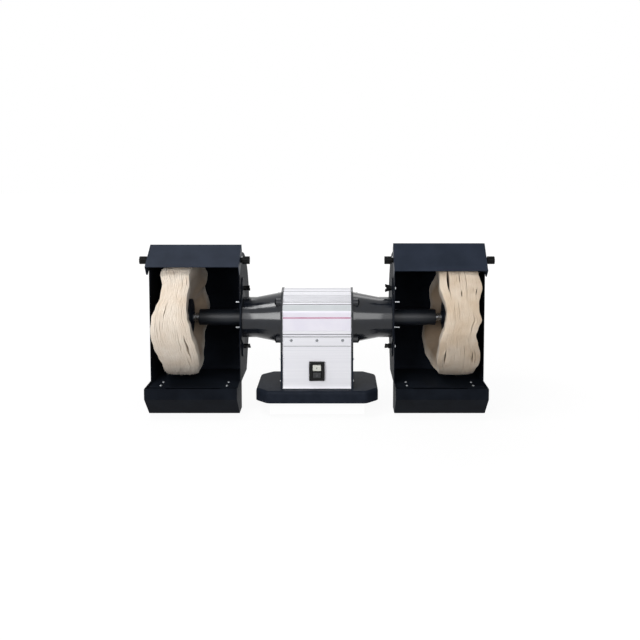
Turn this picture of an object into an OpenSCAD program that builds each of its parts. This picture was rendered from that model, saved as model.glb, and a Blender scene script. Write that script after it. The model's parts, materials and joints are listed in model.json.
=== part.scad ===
// Twin-wheel buffing machine head: motor body on a base, two long spindles, two hooded cotton buffs.
// X runs along the shaft, the open fronts face -Y, Z is up, and the origin is under the base.

/* [Base] */
// Length of the base along the shaft
base_l = 358; // [320:1:400]
// Depth of the base, front to back
base_d = 232; // [215:1:280]
// Height of the base casting
base_h = 35; // [30:1:50]
// Cut across each corner of the base
base_chamfer = 36; // [20:1:42]
// Wall of the hollow base casting
base_wall = 10; // [6:0.5:14]
// Spacing of the tapped mounting holes along the shaft
mount_pitch_x = 270; // [250:1:280]
// Spacing of the tapped mounting holes, front to back
mount_pitch_y = 150; // [120:1:160]
// Tapping bore of the mounting holes
mount_hole_d = 8.5; // [6:0.1:12]
// Depth of the tapped mounting holes
mount_hole_depth = 24; // [15:1:26]

/* [Body] */
// Height of the shaft axis above the underside of the base
axis_z = 230; // [220:1:260]
// Length of the motor body and the pedestal along the shaft
body_l = 200; // [180:1:240]
// Depth of the motor body and the pedestal
body_d = 164; // [156:1:172]
// How far the round crown of the housing stands past half the body depth
crown_out = 5; // [3:0.5:10]
// Drop from the shaft axis to the seam between housing and pedestal
seam_drop = 70; // [66:1:76]
// Thickness of the housing skirt that laps the pedestal
skirt_t = 5; // [3:0.5:7]
// Height of the pedestal lip inside the skirt
lip_h = 24; // [20:1:28]
// Wall of the pedestal
pedestal_wall = 5; // [4:0.5:8]
// How far the foot of the pedestal flares out
flare_out = 3; // [1:0.5:5]
// Height of the flared foot
flare_h = 11; // [8:1:16]
// Width of the grooves along the housing
groove_w = 2; // [1:0.5:3]
// Depth of the grooves along the housing
groove_depth = 1.5; // [0.5:0.5:2.5]

/* [Motor] */
// Wall of the housing between its crown and the stator
shell_t = 15; // [11:0.5:17]
// Length of the stator core
stator_l = 110; // [90:1:120]
// Air gap between rotor and stator
air_gap = 0.5; // [0.3:0.1:0.8]
// Length of each winding overhang
winding_l = 22; // [15:1:25]

/* [Spindle] */
// Shaft radius under the rotor core
shaft_core_r = 20; // [18:0.5:24]
// Shaft radius in the motor bearings
shaft_motor_r = 15; // [14:0.5:17]
// Shaft radius in the spindle tubes
shaft_r = 12.5; // [11:0.5:13.5]
// Radius of the threaded shaft ends
thread_r = 10; // [8:0.5:10.5]
// Outer radius of the motor bearings
motor_bearing_r = 31; // [28:0.5:33]
// Width of the motor bearings
motor_bearing_w = 16; // [12:0.5:20]
// Outer radius of the spindle bearings
tube_bearing_r = 21; // [19:0.5:21.5]
// Width of the spindle bearings
tube_bearing_w = 12; // [9:0.5:14]
// Outer radius of the spindle tubes
tube_r = 24; // [23:0.5:27]
// How far each spindle tube reaches past its carrier plate
tube_reach = 128; // [100:1:135]
// Balls in each bearing
ball_count = 8; // [6:1:8]

/* [End bells] */
// Thickness of the end plates on the body
plate_t = 6; // [5:0.5:10]
// How far the end plates stand past the body outline
plate_margin = 3; // [1:0.5:5]
// Step from the crown of the housing in to the cone
cone_step = 11.5; // [10:0.5:15]
// Radius of the cylindrical neck at the hood
neck_r = 60.5; // [58:0.5:66]
// Length of the tapered stretch
taper_l = 76; // [60:1:90]
// Length of the cylindrical neck
neck_l = 40; // [30:1:50]
// Wall of the cone
cone_wall = 9; // [6:0.5:10]
// Distance of the end plate bolts in from the crown of the housing
bell_bolt_in = 8; // [7:0.5:9]
// Angle of the end plate bolts above and below the horizontal
bell_bolt_angle = 44; // [38:1:48]

/* [Hoods] */
// Width of each hood along the shaft
hood_w = 265; // [255:1:300]
// Radius of the hood about the shaft axis
hood_r = 195; // [193:1:210]
// Distance of the open hood front from the shaft axis
hood_front = 60; // [56:1:70]
// How much nearer the shaft axis the hood floor lies than the round back
floor_lift = 7; // [0:1:8]
// Angle of the flat that joins the round back to the floor
floor_angle = 35; // [25:1:40]
// Thickness of the hood sheet metal
sheet_t = 2.5; // [1.5:0.5:3]
// Thickness of the carrier plates between necks and hoods
carrier_t = 4; // [3:0.5:6]
// Distance of the hood clamps above and below the shaft axis
clamp_offset = 88; // [86:1:92]
// Travel of the hoods up and down from the middle
hood_travel = 5; // [3:0.5:8]

/* [Dust trays] */
// Distance of the tray lip in front of the shaft axis
lip_out = 146; // [135:1:160]
// Height of the tray lip above the hood floor
lip_rise = 9; // [6:1:14]
// Drop from the hood floor to the bend in the tray front
bend_drop = 22; // [15:1:30]
// Depth of the tray below the hood floor
tray_depth = 80; // [70:1:95]
// Distance of the lower front edge of the tray from the shaft axis
tray_foot = 86; // [75:1:100]
// Distance of the back of the tray from the shaft axis
tray_back = 30; // [25:1:45]
// Distance of the front of the floor shelf from the shaft axis
shelf_front = 104; // [98:1:108]

/* [Flaps] */
// Distance of the flap pivot in front of the shaft axis
pivot_out = 48; // [46:0.5:49]
// Depth of the flap pivot below the top of the round back
pivot_drop = 17; // [16:0.5:19]
// Flap length behind the pivot
flap_back = 44; // [40:1:48]
// Flap length in front of the pivot
flap_front = 52; // [45:1:60]
// Height of the flap sheet above its pivot
flap_rise = 20; // [19:0.5:23]
// Thickness of the flap sheet
flap_t = 2; // [1.5:0.5:3]
// Drop of the flap ears below the pivot
ear_drop = 18; // [16:0.5:20]
// Tilt of the left flap at rest
tilt_angle_left = 36; // [10:1:51]
// Tilt of the right flap at rest
tilt_angle_right = 49; // [10:1:51]
// Least tilt that the guide slot allows
tilt_angle_min = 10; // [5:1:10]
// Greatest tilt that the guide slot allows
tilt_angle_max = 51; // [50:1:52]

/* [Buffs] */
// Room between the rim of a buff and the round back of its hood
buff_room = 22; // [21:1:45]
// Width of a buff at its rim
buff_rim_w = 94; // [80:1:100]
// Width of a buff between its flanges
buff_hub_w = 46; // [40:1:70]
// How far the rim wanders sideways
buff_wander = 10; // [0:0.5:12]
// Outer radius of the clamp flanges
flange_r = 55; // [40:1:62]
// Thickness of the clamp flanges
flange_t = 7; // [5:0.5:9]
// Gap along the shaft between the spindle tube and the inner flange
flange_stand = 24; // [12:0.5:28]

/* [Switch] */
// Width of the switch plate
switch_w = 45; // [40:1:60]
// Height of the switch plate
switch_h = 56; // [50:1:64]
// Height of the middle of the switch above the base top
switch_rise = 52; // [45:1:58]
// How far the switch plate stands out
switch_out = 9; // [7:0.5:12]
// Width of the push buttons
button_w = 24; // [18:0.5:30]
// Height of the push buttons
button_h = 17; // [14:0.5:20]
// Travel of the push buttons
button_travel = 3.5; // [2:0.5:4]

/* [Hidden] */
$fn = 64;

// Clearances and the overrun of cuts
fit_gap = 0.05;
run_gap = 0.06;
part_gap = 0.3;
slide_gap = 0.2;
overrun = 1;

// Fasteners
m4_r = 2;
m5_r = 2.5;
m6_r = 3;
m8_r = 4;
head_share = 1.7;
nut_share = 1.95;
head_h_share = 1.3;
screw_l = 16;
bolt_l = 26;
stud_out = 18;
stud_reach = 24;

// Colours
paint = "#22262e";
sheet = "#20242c";
silver = "#e6e6ec";
zinc = "#c9ccd0";
steel = "#9a9ea3";
black = "#101112";
cotton = "#eadfce";
copper = "#b5713a";

// Base and pedestal places
pedestal_foot_t = 8;
pedestal_bolt_in = 26;
pedestal_bolt_x = body_l / 2 - pedestal_bolt_in;
pedestal_bolt_y = body_d / 2 - pedestal_bolt_in;
boss_r = 12;
seam_z = axis_z - seam_drop;
plate_drop_share = 1.25;
plate_bottom = axis_z - seam_drop * plate_drop_share;
side_screw_share = 0.3;

// Radii that follow the body depth
housing_r = body_d / 2 + crown_out;
stator_r = housing_r - shell_t;
rotor_share = 0.46;
stator_bore_r = shaft_core_r + (stator_r - shaft_core_r) * rotor_share;
cone_r = housing_r - cone_step;
bell_bolt_r = housing_r - bell_bolt_in;

// Stations along the shaft, from the middle outwards
bell_x = body_l / 2;
taper_x = bell_x + plate_t;
neck_x = taper_x + taper_l;
carrier_x = neck_x + neck_l;
hood_x = carrier_x + carrier_t + slide_gap;
hood_end = hood_x + hood_w;
tube_end = hood_x + tube_reach;
flange_x = tube_end + flange_stand;
buff_x = flange_x + flange_t + fit_gap;
outer_flange_x = buff_x + buff_hub_w + fit_gap;
nut_x = outer_flange_x + flange_t;
nut_l = 16;
thread_tail = 6;
shaft_tip = nut_x + nut_l + thread_tail;
seal_t = 4;
tube_flange_r = 42;
tube_flange_t = 8;
neck_bore_r = 36;
bearing_lip_t = 4;
hub_wall = 7;
bell_boss_r = 10.5;
bell_boss_h = 14.5;
stud_circle_r = 55;
disc_r = 76;
window_r = 66;
strap_r = 22;
strap_past = 10;
slot_start = 11;
slot_reach = 24;
groove_angles = [36, 41, 45.5, 50.5, 56, 70.5];
line_shares = [0.51, 0.61];
housing_screw_share = 0.755;
screw_pitch_share = 0.375;
housing_screw_z = axis_z - seam_drop * housing_screw_share;
ring_share = 0.28;
ball_share = 0.2;

// Hood, flap and buff places
floor_drop = hood_r - floor_lift;
floor_z = -floor_drop;
pivot_rise = hood_r - pivot_drop;
buff_r = hood_r - buff_room;
ledge_w = 48;
tray_screw_in = 36;
shelf_screw_share = 0.86;
floor_screw_share = 0.5;
knob_r = 11.5;
knob_l = 21;
knob_neck_r = 7.5;
knob_neck_l = 5;
flute_share = 0.16;
flute_count = 10;
wing_span = 24;
wing_t = 5;
wing_l = 10;
wing_root_share = 0.45;
wing_notch_share = 0.5;
wing_tip_share = 0.4;
// How the wings stand at rest: left upper, left lower, right upper, right lower
wing_angles = [50, 56, 4, 54];
wing_hub_r = 7.5;
wing_hub_l = 9;
guide_r = 18;
guide_angle = 20;
fold_l = 8;
fold_angle = 45;
ear_back_share = 0.68;
ear_step_share = 0.15;

// Buff form, from the edge of the flange to the rim: shares of the height, half width and sideways drift
buff_height_shares = [0, 0.25, 0.52, 0.76, 0.91, 0.98, 1];
buff_width_shares = [0, 0.35, 0.78, 1, 0.96, 0.75, 0.35];
buff_drift_shares = [0, 0.15, 0.45, 0.75, 0.92, 0.98, 1];
buff_steps = 40;
ripple_share = 0.02;

// Switch places
button_gap = 0.3;
button_proud = 4;
button_pitch = 21;
switch_rear_l = 28;
switch_margin = 5;
block_l = 60;
block_d = 30;
block_h = 25;
gland_r = 8;
gland_bore_r = 4.5;
gland_nut_r = 12;
gland_nut_l = 10;
gland_tail = 8;
gland_rise = 60;

// Helpers: pieces are drawn on the right-hand side and mirrored for the left
module side(s) {
    if (s > 0) children();
    else mirror([1, 0, 0]) children();
}
module both_sides() {
    for (s = [-1, 1]) side(s) children();
}
module on_axis() translate([0, 0, axis_z]) children();
module x_extrude(x0, x1) translate([x0, 0, 0]) rotate([90, 0, 90]) linear_extrude(x1 - x0) children();
module x_cyl(x0, x1, r) translate([x0, 0, 0]) rotate([0, 90, 0]) cylinder(h = x1 - x0, r = r);
module y_cyl(y0, y1, r) translate([0, y0, 0]) rotate([-90, 0, 0]) cylinder(h = y1 - y0, r = r);
module x_ring(x0, x1, r_out, r_in) {
    difference() {
        x_cyl(x0, x1, r_out);
        x_cyl(x0 - overrun, x1 + overrun, r_in);
    }
}
module x_turn() rotate([0, 90, 0]) rotate_extrude() children();
module hex_x(x0, x1, r) translate([x0, 0, 0]) rotate([0, 90, 0]) cylinder(h = x1 - x0, r = r, $fn = 6);
module at_polar(r, a) translate([0, r * cos(a), r * sin(a)]) children();
module four_corners(x, y) {
    for (i = [-1, 1], j = [-1, 1]) translate([i * x, j * y, 0]) children();
}

// Base and pedestal
module base_outline(inset) {
    x = base_l / 2 - inset;
    y = base_d / 2 - inset;
    c = base_chamfer;
    polygon([[x - c, -y], [x, c - y], [x, y - c], [x - c, y],
        [c - x, y], [-x, y - c], [-x, c - y], [c - x, -y]]);
}
module base_plate() {
    color(paint) difference() {
        linear_extrude(base_h) base_outline(0);
        difference() {
            translate([0, 0, -overrun])
                linear_extrude(base_h - base_wall + overrun) base_outline(base_wall);
            four_corners(mount_pitch_x / 2, mount_pitch_y / 2) cylinder(h = base_h, r = boss_r);
            four_corners(pedestal_bolt_x, pedestal_bolt_y) cylinder(h = base_h, r = boss_r);
        }
        translate([0, 0, -overrun]) four_corners(mount_pitch_x / 2, mount_pitch_y / 2)
            cylinder(h = mount_hole_depth + overrun, d = mount_hole_d);
        translate([0, 0, base_h + pedestal_foot_t - bolt_l]) four_corners(pedestal_bolt_x, pedestal_bolt_y)
            cylinder(h = bolt_l, r = m8_r + fit_gap);
    }
}
module pedestal_profile() {
    y = body_d / 2;
    lip_y = y - skirt_t - fit_gap;
    top = seam_z - base_h;
    difference() {
        union() {
            translate([-y, 0]) square([2 * y, top]);
            translate([-lip_y, 0]) square([2 * lip_y, top + lip_h]);
            polygon([[-y - flare_out, 0], [y + flare_out, 0], [y, flare_h], [-y, flare_h]]);
        }
        translate([pedestal_wall - y, pedestal_foot_t])
            square([2 * (y - pedestal_wall), top - pedestal_foot_t - pedestal_wall]);
        translate([pedestal_wall - lip_y, pedestal_foot_t])
            square([2 * (lip_y - pedestal_wall), top + lip_h]);
    }
}
module housing_screw_places() {
    for (i = [-1, 0, 1], j = [-1, 1])
        translate([i * body_l * screw_pitch_share, j * body_d / 2, housing_screw_z])
            rotate([90 * j, 0, 0]) children();
}
module side_screw_places() {
    for (j = [-1, 1], k = [-1, 1])
        translate([bell_x + plate_t, j * (body_d - pedestal_wall) / 2,
            (base_h + plate_bottom) / 2 + k * (plate_bottom - base_h) * side_screw_share]) children();
}
module pedestal_housing() {
    color(silver) difference() {
        translate([0, 0, base_h]) x_extrude(-bell_x, bell_x) pedestal_profile();
        four_corners(pedestal_bolt_x, pedestal_bolt_y)
            cylinder(h = base_h + pedestal_foot_t + overrun, r = m8_r + fit_gap);
        housing_screw_places() translate([0, 0, -overrun])
            cylinder(h = screw_l + overrun, r = m5_r + fit_gap);
        both_sides() side_screw_places() x_cyl(-screw_l - plate_t, overrun, m4_r + fit_gap);
        translate([0, -body_d / 2, base_h + switch_rise])
            cube([switch_w - 2 * switch_margin + 2 * fit_gap, 4 * pedestal_wall,
                switch_h - 2 * switch_margin + 2 * fit_gap], center = true);
        translate([0, 0, base_h + gland_rise]) y_cyl(0, body_d, gland_r + fit_gap);
    }
}
module pedestal_side(s) {
    color(paint) side(s) difference() {
        x_extrude(bell_x, bell_x + plate_t)
            translate([-body_d / 2 - plate_margin, base_h])
                square([body_d + 2 * plate_margin, plate_bottom - base_h]);
        side_screw_places() x_cyl(-plate_t - overrun, overrun, m4_r + fit_gap);
    }
}
module pedestal_bolts() {
    color(zinc) translate([0, 0, base_h + pedestal_foot_t]) four_corners(pedestal_bolt_x, pedestal_bolt_y) {
        translate([0, 0, -bolt_l + part_gap]) cylinder(h = bolt_l - part_gap, r = m8_r);
        cylinder(h = m8_r * head_h_share, r = m8_r * head_share, $fn = 6);
    }
}
module side_plate_screws() {
    color(zinc) both_sides() side_screw_places() {
        x_cyl(-screw_l - plate_t + part_gap, 0, m4_r);
        x_cyl(0, m4_r * head_h_share, m4_r * head_share);
    }
}

// Motor housing and end bells
module bell_bolt_places() {
    for (a = [bell_bolt_angle, 180 - bell_bolt_angle, 180 + bell_bolt_angle, -bell_bolt_angle])
        at_polar(bell_bolt_r, a) children();
}
module housing_profile() {
    y = body_d / 2;
    boss_y = bell_bolt_r * cos(bell_bolt_angle);
    boss_z = bell_bolt_r * sin(bell_bolt_angle);
    difference() {
        union() {
            intersection() {
                circle(r = housing_r, $fn = 128);
                translate([-y, 0]) square([body_d, housing_r]);
            }
            difference() {
                translate([-y, -seam_drop]) square([body_d, seam_drop]);
                translate([skirt_t - y, -seam_drop - overrun])
                    square([body_d - 2 * skirt_t, lip_h + overrun + part_gap]);
            }
            for (m = [0, 1]) mirror([m, 0]) translate([boss_y, -boss_z]) {
                circle(r = bell_boss_r);
                translate([-bell_boss_r, 0]) square([2 * bell_boss_r, boss_z]);
            }
        }
        circle(r = stator_r, $fn = 128);
        for (a = groove_angles, m = [0, 1]) mirror([m, 0]) rotate(180 - a)
            translate([housing_r - groove_depth, -groove_w / 2]) square([groove_depth + overrun, groove_w]);
        for (k = line_shares, m = [0, 1]) mirror([m, 0])
            translate([-y - overrun, -seam_drop * k - groove_w / 2])
                square([groove_depth + overrun, groove_w]);
    }
}
module motor_housing() {
    color(silver) difference() {
        on_axis() x_extrude(-bell_x, bell_x) housing_profile();
        housing_screw_places() translate([0, 0, -overrun])
            cylinder(h = screw_l + overrun, r = m5_r + fit_gap);
        on_axis() both_sides() bell_bolt_places() x_cyl(bell_x - bolt_l, bell_x + overrun, m6_r + fit_gap);
    }
}
module housing_screws() {
    color(zinc) housing_screw_places() {
        cylinder(h = screw_l - part_gap, r = m5_r);
        translate([0, 0, -m5_r * head_h_share]) cylinder(h = m5_r * head_h_share, r = m5_r * head_share);
    }
}
module bell_section() {
    seat_x = carrier_x - tube_flange_t;
    lip_x = bell_x + motor_bearing_w;
    seat_r = motor_bearing_r + fit_gap;
    hub_r = motor_bearing_r + hub_wall;
    lip_r = motor_bearing_r - bearing_lip_t;
    polygon([[seat_r, bell_x], [cone_r, bell_x], [cone_r, taper_x], [neck_r, neck_x], [neck_r, carrier_x],
        [tube_flange_r + fit_gap, carrier_x], [tube_flange_r + fit_gap, seat_x], [neck_bore_r, seat_x],
        [neck_bore_r, neck_x], [cone_r - cone_wall, taper_x], [hub_r, taper_x],
        [hub_r, lip_x + bearing_lip_t], [lip_r, lip_x + bearing_lip_t], [lip_r, lip_x], [seat_r, lip_x]]);
}
module plate_outline() {
    y = body_d / 2 + plate_margin;
    difference() {
        union() {
            intersection() {
                circle(r = housing_r + plate_margin, $fn = 128);
                translate([-y, 0]) square([2 * y, housing_r + plate_margin]);
            }
            translate([-y, plate_bottom - axis_z]) square([2 * y, axis_z - plate_bottom]);
        }
        circle(r = cone_r - cone_wall, $fn = 128);
    }
}
back_stud_angles = [45, 315];
front_screw_angles = [135, 225];
module stud_places(angles) {
    for (a = angles) at_polar(stud_circle_r, a) children();
}
module all_stud_places() {
    stud_places(back_stud_angles) children();
    stud_places(front_screw_angles) children();
}
module end_bell(s) {
    color(paint) on_axis() side(s) difference() {
        union() {
            x_turn() bell_section();
            x_extrude(bell_x, taper_x) plate_outline();
            bell_bolt_places() x_cyl(bell_x, taper_x + bell_boss_h, bell_boss_r);
        }
        bell_bolt_places() x_cyl(bell_x - overrun, taper_x + bell_boss_h + overrun, m6_r + fit_gap);
        all_stud_places() x_cyl(carrier_x - stud_out, carrier_x + overrun, m6_r + fit_gap);
        x_cyl(bell_x - overrun, taper_x, motor_bearing_r + fit_gap);
    }
}
module end_bell_bolts() {
    seat = taper_x + bell_boss_h;
    color(paint) on_axis() both_sides() bell_bolt_places() {
        x_cyl(bell_x - bolt_l + part_gap, seat, m6_r);
        hex_x(seat, seat + m6_r * head_h_share, m6_r * head_share);
    }
}

// Stator, bearings and spindle tubes
module stator_core() {
    color(steel) on_axis() x_ring(-stator_l / 2, stator_l / 2, stator_r - fit_gap, stator_bore_r);
}
module stator_windings() {
    mid = (stator_r + stator_bore_r) / 2;
    coil_w = (stator_r - stator_bore_r) / 2;
    color(copper) on_axis() both_sides()
        x_ring(stator_l / 2, stator_l / 2 + winding_l, mid + coil_w / 2, mid - coil_w / 2);
}
// Each bearing place: start along X, width, outer radius, shaft radius
bearings = [[bell_x, motor_bearing_w, motor_bearing_r, shaft_motor_r],
    [tube_end - seal_t - tube_bearing_w, tube_bearing_w, tube_bearing_r, shaft_r]];
module bearing_outer_rings() {
    color(steel) on_axis() both_sides() for (b = bearings)
        x_ring(b[0], b[0] + b[1], b[2], b[2] - (b[2] - b[3]) * ring_share);
}
module bearing_inner_rings() {
    color(steel) on_axis() both_sides() for (b = bearings)
        x_ring(b[0], b[0] + b[1], b[3] + (b[2] - b[3]) * ring_share, b[3] + fit_gap);
}
module bearing_balls() {
    color(zinc) on_axis() both_sides() for (b = bearings, i = [0 : ball_count - 1])
        at_polar((b[2] + b[3]) / 2, 360 * i / ball_count)
            translate([b[0] + b[1] / 2, 0, 0]) sphere(r = (b[2] - b[3]) * ball_share, $fn = 24);
}
module spindle_tube(s) {
    seat_x = carrier_x - tube_flange_t;
    bearing_x = tube_end - seal_t - tube_bearing_w;
    color(paint) on_axis() side(s) difference() {
        union() {
            x_cyl(seat_x, tube_end, tube_r);
            x_cyl(seat_x, carrier_x, tube_flange_r);
        }
        x_cyl(seat_x - overrun, tube_end, tube_bearing_r - bearing_lip_t);
        x_cyl(bearing_x, tube_end + overrun, tube_bearing_r + fit_gap);
    }
}
module tube_seals() {
    color(black) on_axis() both_sides()
        x_ring(tube_end - seal_t, tube_end, tube_bearing_r, shaft_r + part_gap);
}

// Carrier plates between the necks and the hoods
module clamp_places(k) translate([0, 0, k * clamp_offset]) children();
module clamp_slot(k, x0, x1, start) {
    slot_r = m6_r + part_gap;
    for (d = [start, slot_reach]) translate([0, 0, k * d]) x_cyl(x0, x1, slot_r);
    translate([0, 0, k * (start + slot_reach) / 2])
        x_extrude(x0, x1) square([2 * slot_r, slot_reach - start], center = true);
}
module carrier_plate(s) {
    color(sheet) on_axis() side(s) difference() {
        union() {
            x_cyl(carrier_x, carrier_x + carrier_t, disc_r);
            x_extrude(carrier_x, carrier_x + carrier_t)
                square([2 * strap_r, 2 * (clamp_offset + strap_past)], center = true);
            for (k = [-1, 1]) translate([0, 0, k * (clamp_offset + strap_past)])
                x_cyl(carrier_x, carrier_x + carrier_t, strap_r);
        }
        x_cyl(carrier_x - overrun, carrier_x + carrier_t + overrun, tube_r + fit_gap);
        all_stud_places() x_cyl(carrier_x - overrun, carrier_x + carrier_t + overrun, m6_r + fit_gap);
        for (k = [-1, 1]) clamp_places(k) {
            x_cyl(carrier_x - overrun, carrier_x + carrier_t + overrun, m6_r + run_gap);
            clamp_slot(k, carrier_x - overrun, carrier_x + carrier_t + overrun, slot_start);
        }
    }
}
module carrier_studs() {
    seat = carrier_x + carrier_t;
    root = carrier_x - stud_out + part_gap;
    color(zinc) on_axis() both_sides() {
        stud_places(back_stud_angles) {
            x_cyl(root, seat + stud_reach, m6_r);
            hex_x(seat, seat + 2 * m6_r, m6_r * nut_share);
        }
        stud_places(front_screw_angles) {
            x_cyl(root, seat, m6_r);
            hex_x(seat, seat + m6_r * head_h_share, m6_r * head_share);
        }
    }
}
module clamp_nuts() {
    seat = hood_x + sheet_t + part_gap;
    color(zinc) on_axis() both_sides() for (k = [-1, 1]) clamp_places(k) difference() {
        hex_x(seat, seat + 2 * m6_r, m6_r * nut_share);
        x_cyl(seat - overrun, seat + 2 * m6_r + overrun, m6_r + run_gap);
    }
}
// A wing clamp: a hub with two wings that spread away from the strap, and a notch between them
module clamp_wing(s, k, turn) {
    face = carrier_x - part_gap;
    root = face - wing_hub_l * wing_root_share;
    tip = face - wing_hub_l - wing_l;
    notch = tip + wing_l * wing_notch_share;
    half = wing_span / 2;
    inside = half * wing_tip_share;
    color(black) on_axis() side(s) clamp_places(k) rotate([turn, 0, 0]) {
        x_cyl(face - wing_hub_l, face, wing_hub_r);
        translate([0, wing_t / 2, 0]) rotate([90, 0, 0]) linear_extrude(wing_t)
            polygon([[root, -wing_hub_r], [root, wing_hub_r], [tip, half], [tip, inside], [notch, 0],
                [tip, -inside], [tip, -half]]);
        x_cyl(face - overrun, hood_x + sheet_t + stud_out / 2, m6_r);
    }
}

// Rotor
module shaft() {
    color(steel) on_axis() {
        x_cyl(-stator_l / 2, stator_l / 2, shaft_core_r);
        x_cyl(-bell_x - motor_bearing_w, bell_x + motor_bearing_w, shaft_motor_r);
        x_cyl(-nut_x + flange_t / 2, nut_x - flange_t / 2, shaft_r);
        x_cyl(-shaft_tip, shaft_tip, thread_r);
    }
}
module rotor_core() {
    color(steel) on_axis()
        x_ring(-stator_l / 2, stator_l / 2, stator_bore_r - air_gap, shaft_core_r + fit_gap);
}
module inner_flanges() {
    color(paint) on_axis() both_sides() difference() {
        union() {
            x_cyl(flange_x, flange_x + flange_t, flange_r);
            x_cyl(flange_x - flange_t, flange_x, shaft_r + flange_t);
        }
        x_cyl(flange_x - flange_t - overrun, flange_x + flange_t + overrun, shaft_r + fit_gap);
    }
}
module outer_flanges() {
    color(paint) on_axis() both_sides() x_ring(outer_flange_x, nut_x, flange_r, shaft_r + fit_gap);
}
module spindle_nuts() {
    color(zinc) on_axis() both_sides() difference() {
        hex_x(nut_x, nut_x + nut_l, thread_r * head_share);
        x_cyl(nut_x - overrun, nut_x + nut_l + overrun, thread_r + fit_gap);
    }
}
// The buff is one wavy ring: the rim is wider than the hub and wanders from side to side
function buff_half(i) = buff_hub_w / 2 + (buff_rim_w - buff_hub_w) / 2 * buff_width_shares[i];
function buff_drift(a, i) =
    buff_wander * buff_drift_shares[i] * (0.7 * sin(2 * a + 25) + 0.3 * sin(5 * a));
function buff_ripple(a) = ripple_share * (sin(3 * a + 40) + 0.4 * sin(11 * a) - 1.4);
function buff_height(a, i) = (buff_r - flange_r) * buff_height_shares[i] * (1 + buff_ripple(a));
function buff_point(a, i, m) =
    let (r = i < 0 ? shaft_r / 2 : flange_r + buff_height(a, i), k = max(i, 0))
    [m * buff_half(k) + buff_drift(a, k), r * cos(a), r * sin(a)];
module buff(s) {
    last = len(buff_height_shares);
    ring = 2 * (last + 1);
    points = [for (j = [0 : buff_steps - 1]) let (a = 360 * j / buff_steps)
        each [for (q = [0 : ring - 1])
            q <= last ? buff_point(a, q - 1, 1) : buff_point(a, ring - 2 - q, -1)]];
    faces = [for (j = [0 : buff_steps - 1], q = [0 : ring - 1])
        let (n = (j + 1) % buff_steps, p = (q + 1) % ring)
        each [[j * ring + q, n * ring + p, n * ring + q], [j * ring + q, j * ring + p, n * ring + p]]];
    color(cotton) on_axis() side(s) difference() {
        translate([buff_x + buff_hub_w / 2, 0, 0]) polyhedron(points, faces);
        x_cyl(flange_x, nut_x, shaft_r + fit_gap);
    }
}

// Hoods
module hood_outline(inset) {
    r = hood_r - inset;
    f = floor_drop - inset;
    touch = [r * cos(floor_angle), -r * sin(floor_angle)];
    foot_y = touch[0] - (f + touch[1]) * tan(floor_angle);
    difference() {
        union() {
            circle(r = r, $fn = 128);
            polygon([[-hood_r, -f], [foot_y, -f], touch, [0, 0], [-hood_r, 0]]);
        }
        translate([-2 * hood_r, -f - hood_r]) square([4 * hood_r, hood_r]);
    }
}
module hood_side_outline() {
    difference() {
        hood_outline(0);
        translate([-hood_front - 2 * hood_r, -2 * hood_r]) square([2 * hood_r, 4 * hood_r]);
    }
}
module pivot_place() translate([0, -pivot_out, pivot_rise]) children();
module guide_place() pivot_place() at_polar(guide_r, guide_angle) children();
module wall_holes(x0) {
    pivot_place() x_cyl(x0 - overrun, x0 + sheet_t + overrun, m6_r + run_gap);
    guide_place() x_cyl(x0 - overrun, x0 + sheet_t + overrun, m5_r + fit_gap);
}
module hood_inner_wall(s) {
    color(sheet) on_axis() side(s) difference() {
        x_extrude(hood_x, hood_x + sheet_t) hood_side_outline();
        wall_holes(hood_x);
        x_cyl(hood_x - overrun, hood_x + sheet_t + overrun, window_r);
        for (k = [-1, 1]) clamp_places(k)
            clamp_slot(k, hood_x - overrun, hood_x + sheet_t + overrun, -hood_travel);
    }
}
module hood_outer_wall(s) {
    color(sheet) on_axis() side(s) difference() {
        x_extrude(hood_end - sheet_t, hood_end) hood_side_outline();
        wall_holes(hood_end - sheet_t);
    }
}
module tray_screw_places() {
    for (x = [hood_x + tray_screw_in, hood_end - tray_screw_in], k = [shelf_screw_share, floor_screw_share])
        translate([x, -k * shelf_front, floor_z + sheet_t]) children();
}
module hood_wrap(s) {
    color(sheet) on_axis() side(s) difference() {
        x_extrude(hood_x + sheet_t, hood_end - sheet_t) {
            difference() {
                hood_side_outline();
                hood_outline(sheet_t);
            }
            translate([-shelf_front, floor_z]) square([shelf_front - hood_front + sheet_t, sheet_t]);
        }
        tray_screw_places() translate([0, 0, -2 * sheet_t]) cylinder(h = 4 * sheet_t, r = m5_r + fit_gap);
    }
}
module tray_outline(inset) {
    rim = floor_z + lip_rise;
    step_y = -hood_front - part_gap;
    up = inset > 0 ? lip_rise + overrun : 0;
    polygon([[-lip_out + inset, rim + up], [-lip_out + inset, floor_z - bend_drop],
        [-tray_foot + inset, floor_z - tray_depth + inset],
        [-tray_back - inset, floor_z - tray_depth + inset],
        [-tray_back - inset, floor_z + up], [step_y, floor_z + up], [step_y, rim + up]]);
}
module dust_tray(s) {
    color(sheet) on_axis() side(s) difference() {
        union() {
            difference() {
                x_extrude(hood_x, hood_end) tray_outline(0);
                x_extrude(hood_x + sheet_t, hood_end - sheet_t) tray_outline(sheet_t);
            }
            for (x = [hood_x + sheet_t, hood_end - sheet_t - ledge_w])
                translate([x - sheet_t / 2, -shelf_front, floor_z - sheet_t])
                    cube([ledge_w + sheet_t, shelf_front - tray_back - sheet_t / 2, sheet_t]);
        }
        tray_screw_places() translate([0, 0, -4 * sheet_t]) cylinder(h = 4 * sheet_t, r = m5_r + fit_gap);
    }
}
module tray_screws(s) {
    color(zinc) on_axis() side(s) tray_screw_places() {
        translate([0, 0, -screw_l]) cylinder(h = screw_l, r = m5_r);
        cylinder(h = m5_r * head_h_share, r = m5_r * head_share);
    }
}

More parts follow.
